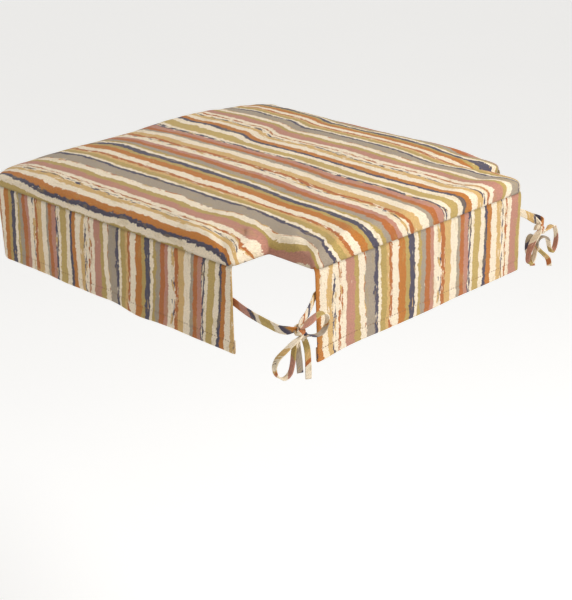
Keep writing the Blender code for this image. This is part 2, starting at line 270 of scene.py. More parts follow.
# ================================================================ materials
class Graph:
    """Short calls for building a material's nodes."""

    def __init__(self, name):
        self.material = bpy.data.materials.new(name)
        self.material.use_nodes = True
        self.tree = self.material.node_tree
        self.shader = self.tree.nodes["Principled BSDF"]

    def node(self, kind, **settings):
        made = self.tree.nodes.new(kind)
        for key, value in settings.items():
            setattr(made, key, value)
        return made

    def put(self, value, socket):
        if isinstance(value, bpy.types.NodeSocket):
            self.tree.links.new(value, socket)
        else:
            socket.default_value = value

    def math(self, operation, *values):
        made = self.node("ShaderNodeMath", operation=operation)
        for socket, value in zip(made.inputs, values):
            self.put(value, socket)
        return made.outputs[0]

    def plus(self, a, b):
        return self.math("ADD", a, b)

    def minus(self, a, b):
        return self.math("SUBTRACT", a, b)

    def times(self, a, b):
        return self.math("MULTIPLY", a, b)

    def fitted(self, value, gain, base):
        return self.math("MULTIPLY_ADD", value, gain, base)

    def above(self, value, limit):
        """1 where the value is over the limit, else 0."""
        return self.math("GREATER_THAN", value, limit)

    def sine(self, value, turn):
        return self.math("SINE", self.times(value, turn))

    def ridges(self, value, turn):
        return self.math("ABSOLUTE", self.sine(value, turn))

    def mix(self, share, a, b, blend="MIX"):
        made = self.node("ShaderNodeMix", data_type="RGBA", blend_type=blend)
        self.put(share, made.inputs["Factor"])
        self.put(a, made.inputs["A"])
        self.put(b, made.inputs["B"])
        return made.outputs["Result"]

    def shaded(self, colour, tint):
        """A colour darkened or lightened by a number."""
        return self.mix(1.0, colour, self.vector(tint, tint, tint), "MULTIPLY")

    def vector(self, x, y, z):
        made = self.node("ShaderNodeCombineXYZ")
        for socket, value in zip(made.inputs, (x, y, z)):
            self.put(value, socket)
        return made.outputs[0]

    def split(self, vector):
        made = self.node("ShaderNodeSeparateXYZ")
        self.put(vector, made.inputs[0])
        return made.outputs[:]

    def place(self):
        """The point in the piece's own axes."""
        return self.node("ShaderNodeTexCoord").outputs["Object"]

    def scaled(self, parts, scales):
        return self.vector(*(self.times(part, scale) for part, scale in zip(parts, scales)))

    def noise(self, vector, detail=2.0, roughness=0.5):
        made = self.node("ShaderNodeTexNoise")
        self.put(vector, made.inputs["Vector"])
        made.inputs["Scale"].default_value = 1.0
        made.inputs["Detail"].default_value = detail
        made.inputs["Roughness"].default_value = roughness
        return made.outputs["Fac"]

    def steps(self, position, stops):
        """A ramp of plain bands: stops are (start, colour, unbroken share)."""
        made = self.node("ShaderNodeValToRGB")
        ramp = made.color_ramp
        ramp.interpolation = "CONSTANT"
        for index, (start, colour, unbroken) in enumerate(stops):
            stop = ramp.elements[index] if index < 2 else ramp.elements.new(start)
            stop.position = start
            stop.color = (*colour[:3], unbroken)
        self.put(position, made.inputs["Fac"])
        return made.outputs

    def bump(self, height, distance, strength):
        made = self.node("ShaderNodeBump")
        made.inputs["Strength"].default_value = strength
        made.inputs["Distance"].default_value = distance
        self.put(height, made.inputs["Height"])
        self.put(made.outputs["Normal"], self.shader.inputs["Normal"])

    def finish(self, colour, roughness, metallic=0.0, sheen=0.0, specular=0.3):
        self.put(colour, self.shader.inputs["Base Color"])
        self.put(roughness, self.shader.inputs["Roughness"])
        self.shader.inputs["Metallic"].default_value = metallic
        self.shader.inputs["Sheen Weight"].default_value = sheen
        self.shader.inputs["Sheen Roughness"].default_value = 0.5
        self.shader.inputs["Specular IOR Level"].default_value = specular
        return self.material


THREAD_PITCH = 0.00105
TAPE_COLOUR = (196, 172, 132)
COIL_COLOUR = (190, 164, 122)
NICKEL_COLOUR = (186, 180, 168)
FOAM_COLOUR = (236, 222, 176)


def weave_height(g, across, along):
    """Plain weave: threads pass over and under each other in turn."""
    turn = 2 * math.pi / THREAD_PITCH
    high = g.above(g.times(g.sine(across, turn / 2), g.sine(along, turn / 2)), 0.0)
    warp = g.times(high, g.ridges(across, turn))
    weft = g.times(g.minus(1.0, high), g.ridges(along, turn))
    return g.plus(warp, weft)


def stripe_ramps(g, place):
    """Colour and unbroken share of the stripe at place, from 0 to 1 along one repeat.

    A ramp holds 32 stops at most, so the repeat is cut in two.
    """
    starts = np.cumsum([0.0] + [width for _, width, _ in STRIPES])[:-1] * MM / REPEAT
    half = len(STRIPES) // 2
    cut = float(starts[half])
    ramps = []
    for low, high, rows in ((0.0, cut, range(half)), (cut, 1.0, range(half, len(STRIPES)))):
        stops = [
            ((float(starts[i]) - low) / (high - low), linear(PALETTE[STRIPES[i][0]]), STRIPES[i][2])
            for i in rows
        ]
        ramps.append(g.steps(g.math("DIVIDE", g.minus(place, low), high - low), stops))
    second = g.above(place, cut)
    colour = g.mix(second, ramps[0]["Color"], ramps[1]["Color"])
    first_share = g.times(ramps[0]["Alpha"], g.minus(1.0, second))
    return colour, g.plus(first_share, g.times(ramps[1]["Alpha"], second))


def striped_cloth(name, seed, reverse=0.0):
    """Cotton printed in ragged stripes; reverse is how far the print fades on its back."""
    g = Graph(name)
    cream, sand, olive = (linear(PALETTE[tone]) for tone in ("cream", "sand", "olive"))
    across, along, painted_shade_amount = g.split(g.node("ShaderNodeAttribute", attribute_name="cloth").outputs["Vector"])

    def patches(scale_across, scale_along, shift, detail, roughness=0.5):
        """Noise drawn over the flat cloth, in patches as small as the scales are large."""
        vector = g.vector(g.times(across, scale_across), g.times(along, scale_along), seed + shift)
        return g.noise(vector, detail, roughness)

    def centred(value, size):
        return g.times(g.minus(value, 0.5), size)

    # How far the stripes' edges wander, from the broad drift down to single frayed threads.
    drift = centred(patches(34, 15, 0.0, 1.0), 0.0090)
    torn = centred(patches(130, 115, 5.0, 3.0, 0.62), 0.0068)
    teeth = centred(patches(170, 400, 9.0, 2.0, 0.6), 0.0030)
    frayed = centred(patches(600, 1100, 11.0, 1.0), 0.0018)
    moved = g.plus(g.plus(across, drift), g.plus(torn, g.plus(teeth, frayed)))
    colour, unbroken = stripe_ramps(g, g.math("FRACT", g.math("DIVIDE", moved, REPEAT)))

    # Dry-brush gaps that show the ground, then flecks and faint stains over all.
    broken = g.above(patches(380, 60, 13.0, 3.0, 0.62), g.fitted(unbroken, 0.46, 0.27))
    ground = g.mix(g.above(patches(160, 40, 17.0, 1.0), 0.55), cream, sand)
    colour = g.mix(broken, colour, ground)
    colour = g.mix(g.times(g.above(patches(560, 240, 21.0, 2.0), 0.70), 0.6), colour, sand)
    colour = g.mix(g.times(g.above(patches(120, 36, 23.0, 2.0), 0.60), 0.20), colour, olive)

    height = weave_height(g, across, along)
    grain = patches(820, 820, 29.0, 2.0)
    value = g.fitted(patches(26, 26, 25.0, 3.0), 0.22, 0.88)
    value = g.plus(value, centred(grain, 0.85))
    # Painted shade: the colour is darker where the weave lies low, following the same height as the bump.
    value = g.plus(value, g.times(g.minus(height, 0.6), 0.30))
    # Painted shade: the cloth is darkened by up to 35% where its points carry painted shade, at the seams,
    # along the lining's edges and fold, and on the slot facings.
    value = g.times(value, g.minus(1.0, g.times(painted_shade_amount, 0.35)))
    colour = g.shaded(colour, value)
    if reverse:
        colour = g.mix(reverse, colour, cream)
    g.bump(g.plus(height, g.times(grain, 0.6)), 0.00022, 0.7)
    return g.finish(colour, 0.86, sheen=0.12, specular=0.18)


def thread_material():
    """Sewing thread, with its twist."""
    g = Graph("sewing_thread")
    x, y, z = g.split(g.place())
    ply = g.ridges(g.plus(g.plus(x, y), z), 5400)
    g.bump(ply, 0.0001, 0.6)
    # Painted shade: the thread is darker in the twist's grooves, following the same ridges as the bump.
    return g.finish(g.shaded(linear(PALETTE["thread"]), g.fitted(ply, 0.35, 0.72)), 0.7, sheen=0.1)


def tape_material():
    """Zip tape: fine herringbone ribs."""
    g = Graph("zip_tape_weave")
    x, y, _ = g.split(g.place())
    fold = g.math("ABSOLUTE", g.minus(g.math("FRACT", g.times(y, 260)), 0.5))
    ribs = g.fitted(g.sine(g.plus(x, g.times(fold, 0.004)), 7600), 0.5, 0.5)
    g.bump(ribs, 0.0001, 0.6)
    # Painted shade: the tape is darker between its ribs, following the same ribs as the bump.
    return g.finish(g.shaded(linear(TAPE_COLOUR), g.fitted(ribs, 0.22, 0.80)), 0.8, sheen=0.1)


def coil_material():
    """Nylon coil, slightly clear and worn dull in patches."""
    g = Graph("zip_coil_nylon")
    patch = g.noise(g.scaled(g.split(g.place()), (900, 900, 900)))
    g.bump(patch, 0.00005, 0.4)
    colour = g.shaded(linear(COIL_COLOUR), g.fitted(patch, 0.24, 0.84))
    return g.finish(colour, g.fitted(patch, 0.3, 0.28), specular=0.5)


def nickel_material():
    """Satin nickel with fine scratches and duller patches."""
    g = Graph("zip_nickel")
    x, y, z = g.split(g.place())
    scratch = g.noise(g.scaled((x, y, z), (600, 9000, 4000)), 3.0)
    patch = g.noise(g.vector(g.times(x, 500), g.times(y, 500), 3.0))
    g.bump(scratch, 0.00003, 0.5)
    colour = g.shaded(linear(NICKEL_COLOUR), g.fitted(patch, 0.3, 0.8))
    rough = g.fitted(scratch, 0.25, g.fitted(patch, 0.2, 0.14))
    return g.finish(colour, rough, metallic=1.0, specular=0.5)


def foam_material():
    """Open-cell foam: small irregular cells."""
    g = Graph("foam_cells")
    cells = g.node("ShaderNodeTexVoronoi", feature="F1")
    g.put(g.place(), cells.inputs["Vector"])
    cells.inputs["Scale"].default_value = 700.0
    hollow = cells.outputs["Distance"]
    g.bump(hollow, 0.0004, 0.8)
    # Painted shade: the foam is darker in its cells' hollows, following the same distance as the bump.
    return g.finish(g.shaded(linear(FOAM_COLOUR), g.fitted(hollow, 0.35, 0.68)), 0.95)


# Each panel's own seed moves its ragged edges; a skirt's back shows its face's print, faded.
CLOTH_TOP = striped_cloth("striped_cotton_top", 1.0)
CLOTH_SIDES = striped_cloth("striped_cotton_skirt", 41.0)
CLOTH_SIDES_BACK = striped_cloth("striped_cotton_skirt_reverse", 41.0, reverse=0.38)
CLOTH_LINING = striped_cloth("striped_cotton_lining", 83.0)
CLOTH_TIES = striped_cloth("striped_cotton_ties", 121.0)
THREAD = thread_material()
TAPE = tape_material()
COIL = coil_material()
NICKEL = nickel_material()
FOAM = foam_material()


# ================================================================ camera, light, floor
def make_camera():
    data = bpy.data.cameras.new("camera")
    data.sensor_width = SENSOR
    data.lens = CAMERA_LENS
    data.clip_start = 0.01
    camera = new_object("camera", data)
    turn = Matrix.Rotation(CAMERA_YAW, 4, "Z") @ Matrix.Rotation(math.pi / 2 - CAMERA_PITCH, 4, "X")
    camera.matrix_world = Matrix.Translation(CAMERA_PLACE) @ turn @ Matrix.Rotation(CAMERA_ROLL, 4, "Z")
    bpy.context.scene.camera = camera


def make_key_light():
    data = bpy.data.lights.new("key", "AREA")
    data.shape = "DISK"
    data.size = KEY_SIZE
    data.energy = KEY_POWER
    light = new_object("key", data)
    light.location = KEY_PLACE
    light.rotation_mode = "QUATERNION"
    light.rotation_quaternion = (Vector(KEY_TARGET) - Vector(KEY_PLACE)).to_track_quat("-Z", "Y")


def make_studio():
    world = bpy.data.worlds.new("studio")
    world.use_nodes = True
    background = world.node_tree.nodes["Background"]
    background.inputs["Color"].default_value = WARM_WHITE
    background.inputs["Strength"].default_value = WORLD_STRENGTH
    bpy.context.scene.world = world
    bpy.context.scene.view_settings.view_transform = "Standard"
    make_key_light()

    g = Graph("floor_paper")
    tint = g.fitted(g.noise(g.place(), 4.0), 0.02, 0.93)
    g.shader.inputs["Emission Color"].default_value = WARM_WHITE
    g.shader.inputs["Emission Strength"].default_value = FLOOR_GLOW
    paper = g.finish(g.vector(tint, tint, tint), 0.9)
    corners = [(x, y, FLOOR_Z) for x, y in box_corners(-FLOOR_HALF, FLOOR_HALF, -FLOOR_HALF, FLOOR_HALF)]
    mesh_object("floor", corners, [(0, 1, 2, 3)], [paper], smooth=False)


# ================================================================ the pad's outline
STRAIGHT_STEP = 0.0045


def side_x(y):
    share = (y - FRONT_Y) / (REAR_Y - FRONT_Y)
    return FRONT_WIDTH / 2 + (REAR_WIDTH - FRONT_WIDTH) / 2 * share


def arc(before, corner, after, radius, steps):
    """Points of the arc that rounds one corner, and none of the straight runs beside it."""
    to_before = (before - corner).normalized()
    to_after = (after - corner).normalized()
    half = to_before.angle(to_after) / 2
    middle = corner + (to_before + to_after).normalized() * (radius / math.sin(half))
    start = corner + to_before * (radius / math.tan(half)) - middle
    end = corner + to_after * (radius / math.tan(half)) - middle
    sweep = -start.angle_signed(end)
    points = []
    for step in range(steps + 1):
        turn = sweep * step / steps
        cosine, sine = math.cos(turn), math.sin(turn)
        points.append(middle + Vector((start.x * cosine - start.y * sine, start.x * sine + start.y * cosine)))
    return points


def outline(inset):
    """The pad's outline moved in by inset (out where it is negative); every inset has as many points."""
    front, rear = FRONT_Y + inset, REAR_Y - inset
    notch_y, notch_x = NOTCH_Y - inset, NOTCH_X - inset
    outer = FRONT_RADIUS - inset * (0.3 if inset > 0 else 1.0)
    small = NOTCH_RADIUS + inset * (0.4 if inset > 0 else -1.0)
    inner = min(max(NOTCH_INNER_RADIUS + inset, 0.0012), 0.035)
    half = [
        (Vector((side_x(front) - inset, front)), outer, 12),
        (Vector((side_x(notch_y) - inset, notch_y)), small, 6),
        (Vector((notch_x, notch_y)), inner, 6),
        (Vector((notch_x, rear)), small, 6),
    ]
    corners = half + [(Vector((-p.x, p.y)), radius, steps) for p, radius, steps in reversed(half)]
    arcs = []
    for index, (corner, radius, steps) in enumerate(corners):
        after = corners[(index + 1) % len(corners)][0]
        arcs.append(arc(corners[index - 1][0], corner, after, radius, steps))
    side_runs = [NOTCH_Y - FRONT_Y, NOTCH_WIDTH, NOTCH_DEPTH]
    runs = side_runs + [2 * NOTCH_X] + side_runs[::-1] + [FRONT_WIDTH]
    loop = []
    for index, points in enumerate(arcs):
        loop.extend(points)
        following = arcs[(index + 1) % len(arcs)][0]
        count = max(2, round(runs[index] / STRAIGHT_STEP))
        loop.extend(points[-1].lerp(following, step / count) for step in range(1, count))
    return np.array([(p.x, p.y) for p in loop])


def outward_of_seam():
    return unit_rows(outline(-0.004) - outline(0.004))


def distance_inside(points, loop):
    """How far each point is from a closed loop."""
    best = np.full(len(points), np.inf)
    for a, b in zip(loop, np.roll(loop, -1, axis=0)):
        run = b - a
        share = np.clip(((points - a) @ run) / max(run @ run, 1e-12), 0, 1)
        away = points - a - share[:, None] * run
        best = np.minimum(best, np.hypot(away[:, 0], away[:, 1]))
    return best


# ================================================================ top cover
# The rounded edge from the seam up, in millimetres: outward of the seam, and height.
EDGE_PROFILE = [
    (-1.5, 0.3), (-0.4, 0.0), (0.4, 1.3), (1.0, 3.6), (1.2, 6.6), (0.8, 9.8), (-0.7, 13.0), (-3.5, 15.9),
    (-7.6, 18.2), (-12.6, 19.6), (-18.2, 20.4), (-24.0, 20.9),
]
# The same for the squarer rear edge.
REAR_PROFILE = [
    (-1.5, 0.3), (-0.4, 0.0), (0.5, 1.6), (1.1, 4.4), (1.4, 7.8), (1.3, 11.4), (0.4, 14.9), (-2.0, 17.8),
    (-5.7, 19.7), (-10.7, 20.6), (-17.0, 20.9), (-24.0, 20.9),
]
EDGE_STRETCH = 0.88
EDGE_TOP = 20.9
CROWN = 0.0052
FILL_STEP = 0.0052
PUCKERED_RINGS = 9
COVER_THICKNESS = 0.0011
INFLATION_LIMIT = 0.0022
SETTLING_FRAMES = 20
CLOTH_SETTINGS = {
    "quality": 4, "mass": 0.25, "tension_stiffness": 12, "compression_stiffness": 10, "shear_stiffness": 5,
    "bending_stiffness": 0.4, "vertex_group_mass": "seam", "use_pressure": True,
    "uniform_pressure_force": 4.0, "shrink_min": -0.012,
}
# Corners where the edge is pulled thin: x, y, reach, and the share taken off.
CORNER_PINCHES = [
    (0.206, -0.236, 0.055, 0.27), (-0.206, -0.236, 0.055, 0.12), (0.196, 0.181, 0.022, 0.24),
    (-0.196, 0.181, 0.022, 0.24), (0.150, 0.243, 0.022, 0.14), (-0.150, 0.243, 0.022, 0.14),
]


def edge_scale(x, y):
    """The edge is plumper along the front, right of the middle, and pinched in at the corners."""
    plumper = 0.30 * hump(x, -0.080, 0.105) * smoothstep(-0.06, -0.20, y)
    scale = 1.0 + plumper - 0.06 * smoothstep(0.10, 0.20, y)
    for corner_x, corner_y, reach, pinch in CORNER_PINCHES:
        scale = scale - pinch * hump(np.hypot(x - corner_x, y - corner_y), 0.0, reach)
    return scale


def fill_plan(boundary, extra):
    """Triangles that fill a boundary, with extra points inside it."""
    coords = [Vector(p) for p in boundary] + [Vector(p) for p in extra]
    count = len(boundary)
    edges = [(i, (i + 1) % count) for i in range(count)]
    verts, _, faces, _, _, _ = delaunay_2d_cdt(coords, edges, [], 1, 1e-6)
    return np.array([(v.x, v.y) for v in verts]), [tuple(face) for face in faces]


def plan_grid(loop, step, clearance):
    """Points of a square grid that lie inside a loop and clear of its edge."""
    low, high = loop.min(0), loop.max(0)
    xs, ys = np.arange(low[0], high[0], step), np.arange(low[1], high[1], step)
    grid = np.stack(np.meshgrid(xs, ys), -1).reshape(-1, 2)
    crossings = np.zeros(len(grid), int)
    for a, b in zip(loop, np.roll(loop, -1, axis=0)):
        if a[1] != b[1]:
            spans = (grid[:, 1] >= min(a[1], b[1])) & (grid[:, 1] < max(a[1], b[1]))
            crossings += spans & (grid[:, 0] < a[0] + (grid[:, 1] - a[1]) * (b[0] - a[0]) / (b[1] - a[1]))
    grid = grid[crossings % 2 == 1]
    return grid[distance_inside(grid, loop) > clearance]


def edge_rings(clearance=0.0):
    """Rings of points up the rounded edge, moved in by clearance."""
    seam = outline(0.0)
    scale = edge_scale(seam[:, 0], seam[:, 1])
    rearward = smoothstep(0.192, 0.236, seam[:, 1])
    rings = []
    for (plain_out, plain_z), (square_out, square_z) in zip(EDGE_PROFILE, REAR_PROFILE):
        front = outline(clearance - plain_out * MM)
        rear = outline(clearance - square_out * MM)
        height = (plain_z * (1 - rearward) + square_z * rearward) * MM * scale
        rings.append(np.column_stack([front + (rear - front) * rearward[:, None], height]))
    return rings


def cloth_shift(x, y):
    """How far the print lies towards +x of its even run: it wanders, and spreads at the rear seam."""
    left = smoothstep(0.08, 0.13, x)
    ahead = 1 - smoothstep(0.150 - 0.070 * left, 0.232 - 0.080 * left, y)
    ahead = ahead * (1 - smoothstep(0.165, 0.206, x))
    top = 0.0050 * hump(x, 0.060, 0.090) * smoothstep(0.05, 0.17, y)
    top = top + 0.0042 * smoothstep(0.12, 0.20, x) * smoothstep(0.06, -0.14, y)
    top = top + (0.0055 + 0.0045 * smoothstep(0.06, 0.13, x)) * ahead
    top = top + 0.0065 * hump(y, 0.140, 0.060) * ahead * (1 - smoothstep(0.05, 0.12, x))
    top = top - 0.0145 * (1 - smoothstep(-0.055, -0.005, x)) * smoothstep(-0.05, -0.10, y)
    rear = smoothstep(0.222, 0.258, y)
    return top * (1 - rear) + (0.055 * x - 0.0083) * rear


def even_fill(points, first, faces, rounds):
    """Evens out the heights of the points after first with their neighbours."""
    links = set()
    for face in faces:
        for a, b in zip(face, face[1:] + face[:1]):
            links.update([(a, b), (b, a)])
    links = np.array(sorted(links))
    links = links[links[:, 0] >= first]
    count = np.bincount(links[:, 0], minlength=len(points))
    for _ in range(rounds):
        total = np.bincount(links[:, 0], weights=points[links[:, 1], 2], minlength=len(points))
        points[first:, 2] = total[first:] / count[first:]


def pad_surface():
    """Points and faces of the cover, each point's place on the flat cloth, and how many points a ring has."""
    rings = edge_rings()
    columns = len(rings[0])
    outward = outward_of_seam()
    flat = [rings[-1][:, :2]]
    for near, far in zip(rings[-2::-1], rings[:0:-1]):
        run = np.linalg.norm(near - far, axis=1) * EDGE_STRETCH
        flat.insert(0, flat[0] + outward * run[:, None])

    edge = rings[-1]
    plan, fill = fill_plan(edge[:, :2], plan_grid(edge[:, :2], FILL_STEP, FILL_STEP * 0.6))
    first = (len(rings) - 1) * columns
    faces = grid_faces(len(rings), columns, closed=True)
    faces += [tuple(first + i for i in face) for face in fill]
    inner = plan[columns:]
    # Start each inner point at the height of the edge near it, rising to the top further in.
    nearest = np.argmin(((inner[:, None, :] - edge[None, ::6, :2]) ** 2).sum(2), axis=1)
    level = edge[::6, 2][nearest]
    level = level + (EDGE_TOP * MM - level) * smoothstep(0.0, 0.06, distance_inside(inner, edge[:, :2]))
    points = np.concatenate(rings + [np.column_stack([inner, level])])
    even_fill(points, len(rings) * columns, faces, 60)
    return points, faces, np.concatenate(flat + [inner]), columns


def pucker_edge(points, columns):
    """Small puckers pushed into the rounded edge, strongest half way up it."""
    outward = outward_of_seam()
    for ring in range(1, PUCKERED_RINGS):
        fade = math.sin(math.pi * ring / PUCKERED_RINGS)
        for column, (x, y) in enumerate(outline(0.0)):
            push = 0.0006 * wave(x * 70, y * 70, 20.0) + 0.0005 * wave(x * 28, y * 28, 31.0)
            points[ring * columns + column, :2] += outward[column] * push * fade


def build_pad_top():
    points, faces, cloth, columns = pad_surface()
    points[:, 2] += CROWN * smoothstep(0.016, 0.095, distance_inside(points[:, :2], outline(0.0)))
    for point in points:
        x, y, z = point
        lift = 0.00045 * wave(x * 18, y * 18, 3.0) + 0.00025 * wave(x * 45, y * 45, 8.0)
        point[2] += lift * min(1.0, z / 0.018)
    pucker_edge(points, columns)

    across = cloth[:, 0] - cloth_shift(cloth[:, 0], cloth[:, 1])
    pad = mesh_object("pad_top", points, faces, [CLOTH_TOP])
    # The third part is painted shade: darkest at the seam at the foot of the rounded edge, gone 2 mm above
    # it.
    set_fabric(
        pad, np.column_stack([NAVY_END + TOP_NAVY_X - across, cloth[:, 1]]),
        1 - smoothstep(0.0001, 0.0020, points[:, 2]),
    )
    settle_pad(pad, columns)
    join_pairs(pad)
    subdivide(pad)
    solidify(pad, COVER_THICKNESS)
    register(pad, "top_cover")


def join_pairs(obj):
    """Joins pairs of triangles into quads."""
    bm = bmesh.new()
    bm.from_mesh(obj.data)
    triangles = [face for face in bm.faces if len(face.verts) == 3]
    limit = math.radians(40)
    bmesh.ops.join_triangles(bm, faces=triangles, angle_face_threshold=limit, angle_shape_threshold=limit)
    bm.to_mesh(obj.data)
    bm.free()
    face_outward(obj)


def settle_pad(pad, columns):
    """Inflates the cover a little over its foam, so that it pulls tight and dimples as cloth does."""
    held = pad.vertex_groups.new(name="seam")
    held.add(list(range(columns * 2)), 1.0, "REPLACE")
    before = np.array([v.co for v in pad.data.vertices])
    cloth = pad.modifiers.new("cloth", "CLOTH")
    for setting, value in CLOTH_SETTINGS.items():
        setattr(cloth.settings, setting, value)
    cloth.settings.effector_weights.gravity = 0.0
    cloth.point_cache.frame_start = 1
    cloth.point_cache.frame_end = SETTLING_FRAMES
    scene = bpy.context.scene
    for number in range(1, SETTLING_FRAMES + 1):
        scene.frame_set(number)
    evaluated = pad.evaluated_get(bpy.context.evaluated_depsgraph_get())
    after = np.array([v.co for v in evaluated.data.vertices])
    pad.modifiers.clear()
    scene.frame_set(1)
    moved = after - before
    length = np.linalg.norm(moved, axis=1)
    allowed = INFLATION_LIMIT * np.tanh(length / INFLATION_LIMIT)
    moved *= (allowed / np.maximum(length, 1e-9))[:, None]
    pad.data.vertices.foreach_set("co", (before + moved).astype(np.float32).ravel())
    pad.data.update()


# ================================================================ foam
FOAM_FLOOR = 0.0038
FOAM_CLEARANCE = 0.0026
FOAM_CENTRE = np.array([0.0, 0.015])
GROOVE = Vector((2 * (SLOT_END + 0.005), 0.036, 0.012))
GROOVE_PLACE = Vector((0.0, ZIP_Y, 0.0030))


def cut_groove(foam):
    """Cuts the zip's channel along the underside."""
    mesh = bpy.data.meshes.new("groove")
    bm = bmesh.new()
    bmesh.ops.create_cube(bm, size=1.0)
    bmesh.ops.scale(bm, verts=bm.verts, vec=GROOVE)
    bmesh.ops.translate(bm, verts=bm.verts, vec=GROOVE_PLACE)
    bm.to_mesh(mesh)
    bm.free()
    tool = new_object("groove", mesh)
    cut = foam.modifiers.new("groove", "BOOLEAN")
    cut.object = tool
    cut.operation = "DIFFERENCE"
    apply_modifiers(foam)
    bpy.data.objects.remove(tool)


def build_foam():
    """The foam slab, just inside the cover."""
    rings = edge_rings(FOAM_CLEARANCE)[3:]
    for ring in rings:
        ring[:, 2] = np.maximum(ring[:, 2] * 0.88 - 0.0008, FOAM_FLOOR)
    base = outline(0.0035)
    rings.insert(0, np.column_stack([base, np.full(len(base), FOAM_FLOOR)]))
    top = rings[-1].copy()
    for share in (0.8, 0.55, 0.3, 0.1):
        plan = FOAM_CENTRE + (top[:, :2] - FOAM_CENTRE) * share
        level = top[:, 2] * share + top[:, 2].mean() * (1 - share)
        rings.append(np.column_stack([plan, level + CROWN * 0.7 * (1 - share)]))
    foam = mesh_object("foam_block", np.concatenate(rings), tube_faces(len(rings), len(base)), [FOAM])
    cut_groove(foam)
    register(foam, "foam_insert")


# ================================================================ skirt
HEM = 0.012
HEM_ROUND = 0.0009
END_HEM = 0.008
END_ROUND = 0.0005
CLOTH_THICKNESS = 0.0008
SKIRT_STEP = 0.0036
SKIRT_CLEARANCE = 0.0010
BACK_LENGTH = 2 * (NOTCH_X - SKIRT_CLEARANCE)
SIDE_PRINT_LEAN = 0.12


def skirt_rows():
    """Cross-section of the skirt from the seam to the hem and back up inside it: (inward, z)."""
    rows = [(0.0022, 0.0030), (0.0016, 0.0010), (0.0008, -0.0006), (0.0002, -0.0024)]
    bottom, stitch = HEM_Z + HEM_ROUND, HEM_Z + HEM
    rows += [(0.0, float(z)) for z in np.arange(-0.0065, stitch + 0.003, -SKIRT_STEP)]
    rows += [(0.0, stitch + 0.0016), (0.00022, stitch + 0.0006), (0.00022, stitch - 0.0006),
             (0.0, stitch - 0.0018), (-0.0001, stitch - 0.0050), (0.0, bottom + 0.0012)]
    for angle in np.linspace(0.0, math.pi, 5):
        rows.append((HEM_ROUND * (1 - math.cos(angle)), bottom - HEM_ROUND * math.sin(angle)))
    return rows + [(0.0019, bottom + 0.004), (0.0019, stitch - 0.0018), (0.0017, stitch),
                   (0.0019, stitch + 0.0014)]


def skirt_columns(path):
    """Points along a skirt with its hemmed ends turned in: (place, outward, inward, distance)."""
    tangents, normals = path_frame(path)
    along = distances_along(path)

    def turned(index, sign):
        made = []
        for step in range(1, 4):
            angle = math.pi * step / 4
            place = path[index] + tangents[index] * sign * END_ROUND * math.sin(angle)
            inward = END_ROUND * (1 - math.cos(angle))
            made.append((place, normals[index], inward, along[index] + sign * 0.0004 * step))
        for step in range(4):
            back = END_HEM * step / 3
            place = path[index] - tangents[index] * sign * back
            made.append((place, normals[index], 2 * END_ROUND, along[index] + sign * (0.0016 + back)))
        return made

    columns = [(path[i], normals[i], 0.0, along[i]) for i in range(len(path))]
    return turned(0, -1)[::-1] + columns + turned(len(path) - 1, 1)


def build_skirt(name, path, hang, place_on_cloth, replaced):
    """Hangs a skirt from a path; hang is its functions for sway, droop and flare."""
    sway, droop, flare = hang
    rows, columns = skirt_rows(), skirt_columns(path)
    points, cloth, shade = [], [], []
    down = 0.0
    for index, (inward, z) in enumerate(rows):
        if index:
            down += math.dist(rows[index - 1], (inward, z))
        low = min(max(z / HEM_Z, 0.0), 1.0)
        # Painted shade under the seam: 0.9 at the seam and above it, fading to none 2.6 mm below it.
        shade += [0.9 * (1 - smoothstep(-0.0002, -0.0026, z))] * len(columns)
        for place, normal, turned_in, distance in columns:
            onward = np.array((normal[1], -normal[0]))
            spot = place + normal * (sway(distance, low) - inward - turned_in) + onward * flare(distance, low)
            points.append((spot[0], spot[1], z + droop(distance) * low ** 2))
            cloth.append((place_on_cloth(distance, down), -down))
    skirt = mesh_object(name, points, grid_faces(len(rows), len(columns)), [CLOTH_SIDES, CLOTH_SIDES_BACK])
    set_fabric(skirt, cloth, shade)
    solidify(skirt, CLOTH_THICKNESS, offset=0.0, reverse_slot=1)
    subdivide(skirt)
    register(skirt, replaced)


def side_path():
    """The side skirt's line at the seam, from the left rear corner round the front to the right."""
    edge_y = NOTCH_Y - SKIRT_CLEARANCE
    left_end = Vector((side_x(edge_y), edge_y))
    left_front = Vector((side_x(FRONT_Y), FRONT_Y))
    right_front = Vector((-left_front.x, FRONT_Y))
    right_end = Vector((-left_end.x, edge_y))
    left_arc = arc(left_end, left_front, right_front, FRONT_RADIUS, 16)
    right_arc = arc(left_front, right_front, right_end, FRONT_RADIUS, 16)
    knots = [left_end, *left_arc, *right_arc, right_end]
    path = [knots[0]]
    for here, there in zip(knots, knots[1:]):
        count = max(1, round((there - here).length / SKIRT_STEP))
        path += [here.lerp(there, step / count) for step in range(1, count + 1)]
    return np.array([(p.x, p.y) for p in path])


def back_path():
    """The rear skirt's line at the seam, from the right notch to the left."""
    steps = round(BACK_LENGTH / SKIRT_STEP)
    return np.array([(BACK_LENGTH * (step / steps - 0.5), REAR_Y) for step in range(steps + 1)])


def side_sway(distance, low):
    """How far the side skirt hangs out of plumb, low being 0 at its seam and 1 at its hem."""
    long_wave = 0.0034 * wave(distance * 9.0, 4.0, 0.0)
    fold = 0.0024 * hump(distance, 0.148, 0.030)
    corner = 0.0016 * hump(distance, 0.43, 0.045)
    return (long_wave + fold + corner) * low ** 1.4 + 0.0007 * wave(distance * 34, low * 3, 2.0) * low


def side_droop(distance):
    """How far the side skirt's hem lies off its level line."""
    dip = -0.0026 * hump(distance, 0.145, 0.030)
    corner = -0.0022 * hump(distance, 0.425, 0.040)
    return dip + corner + 0.0012 * wave(distance * 13.0, 9.0, 0.0)


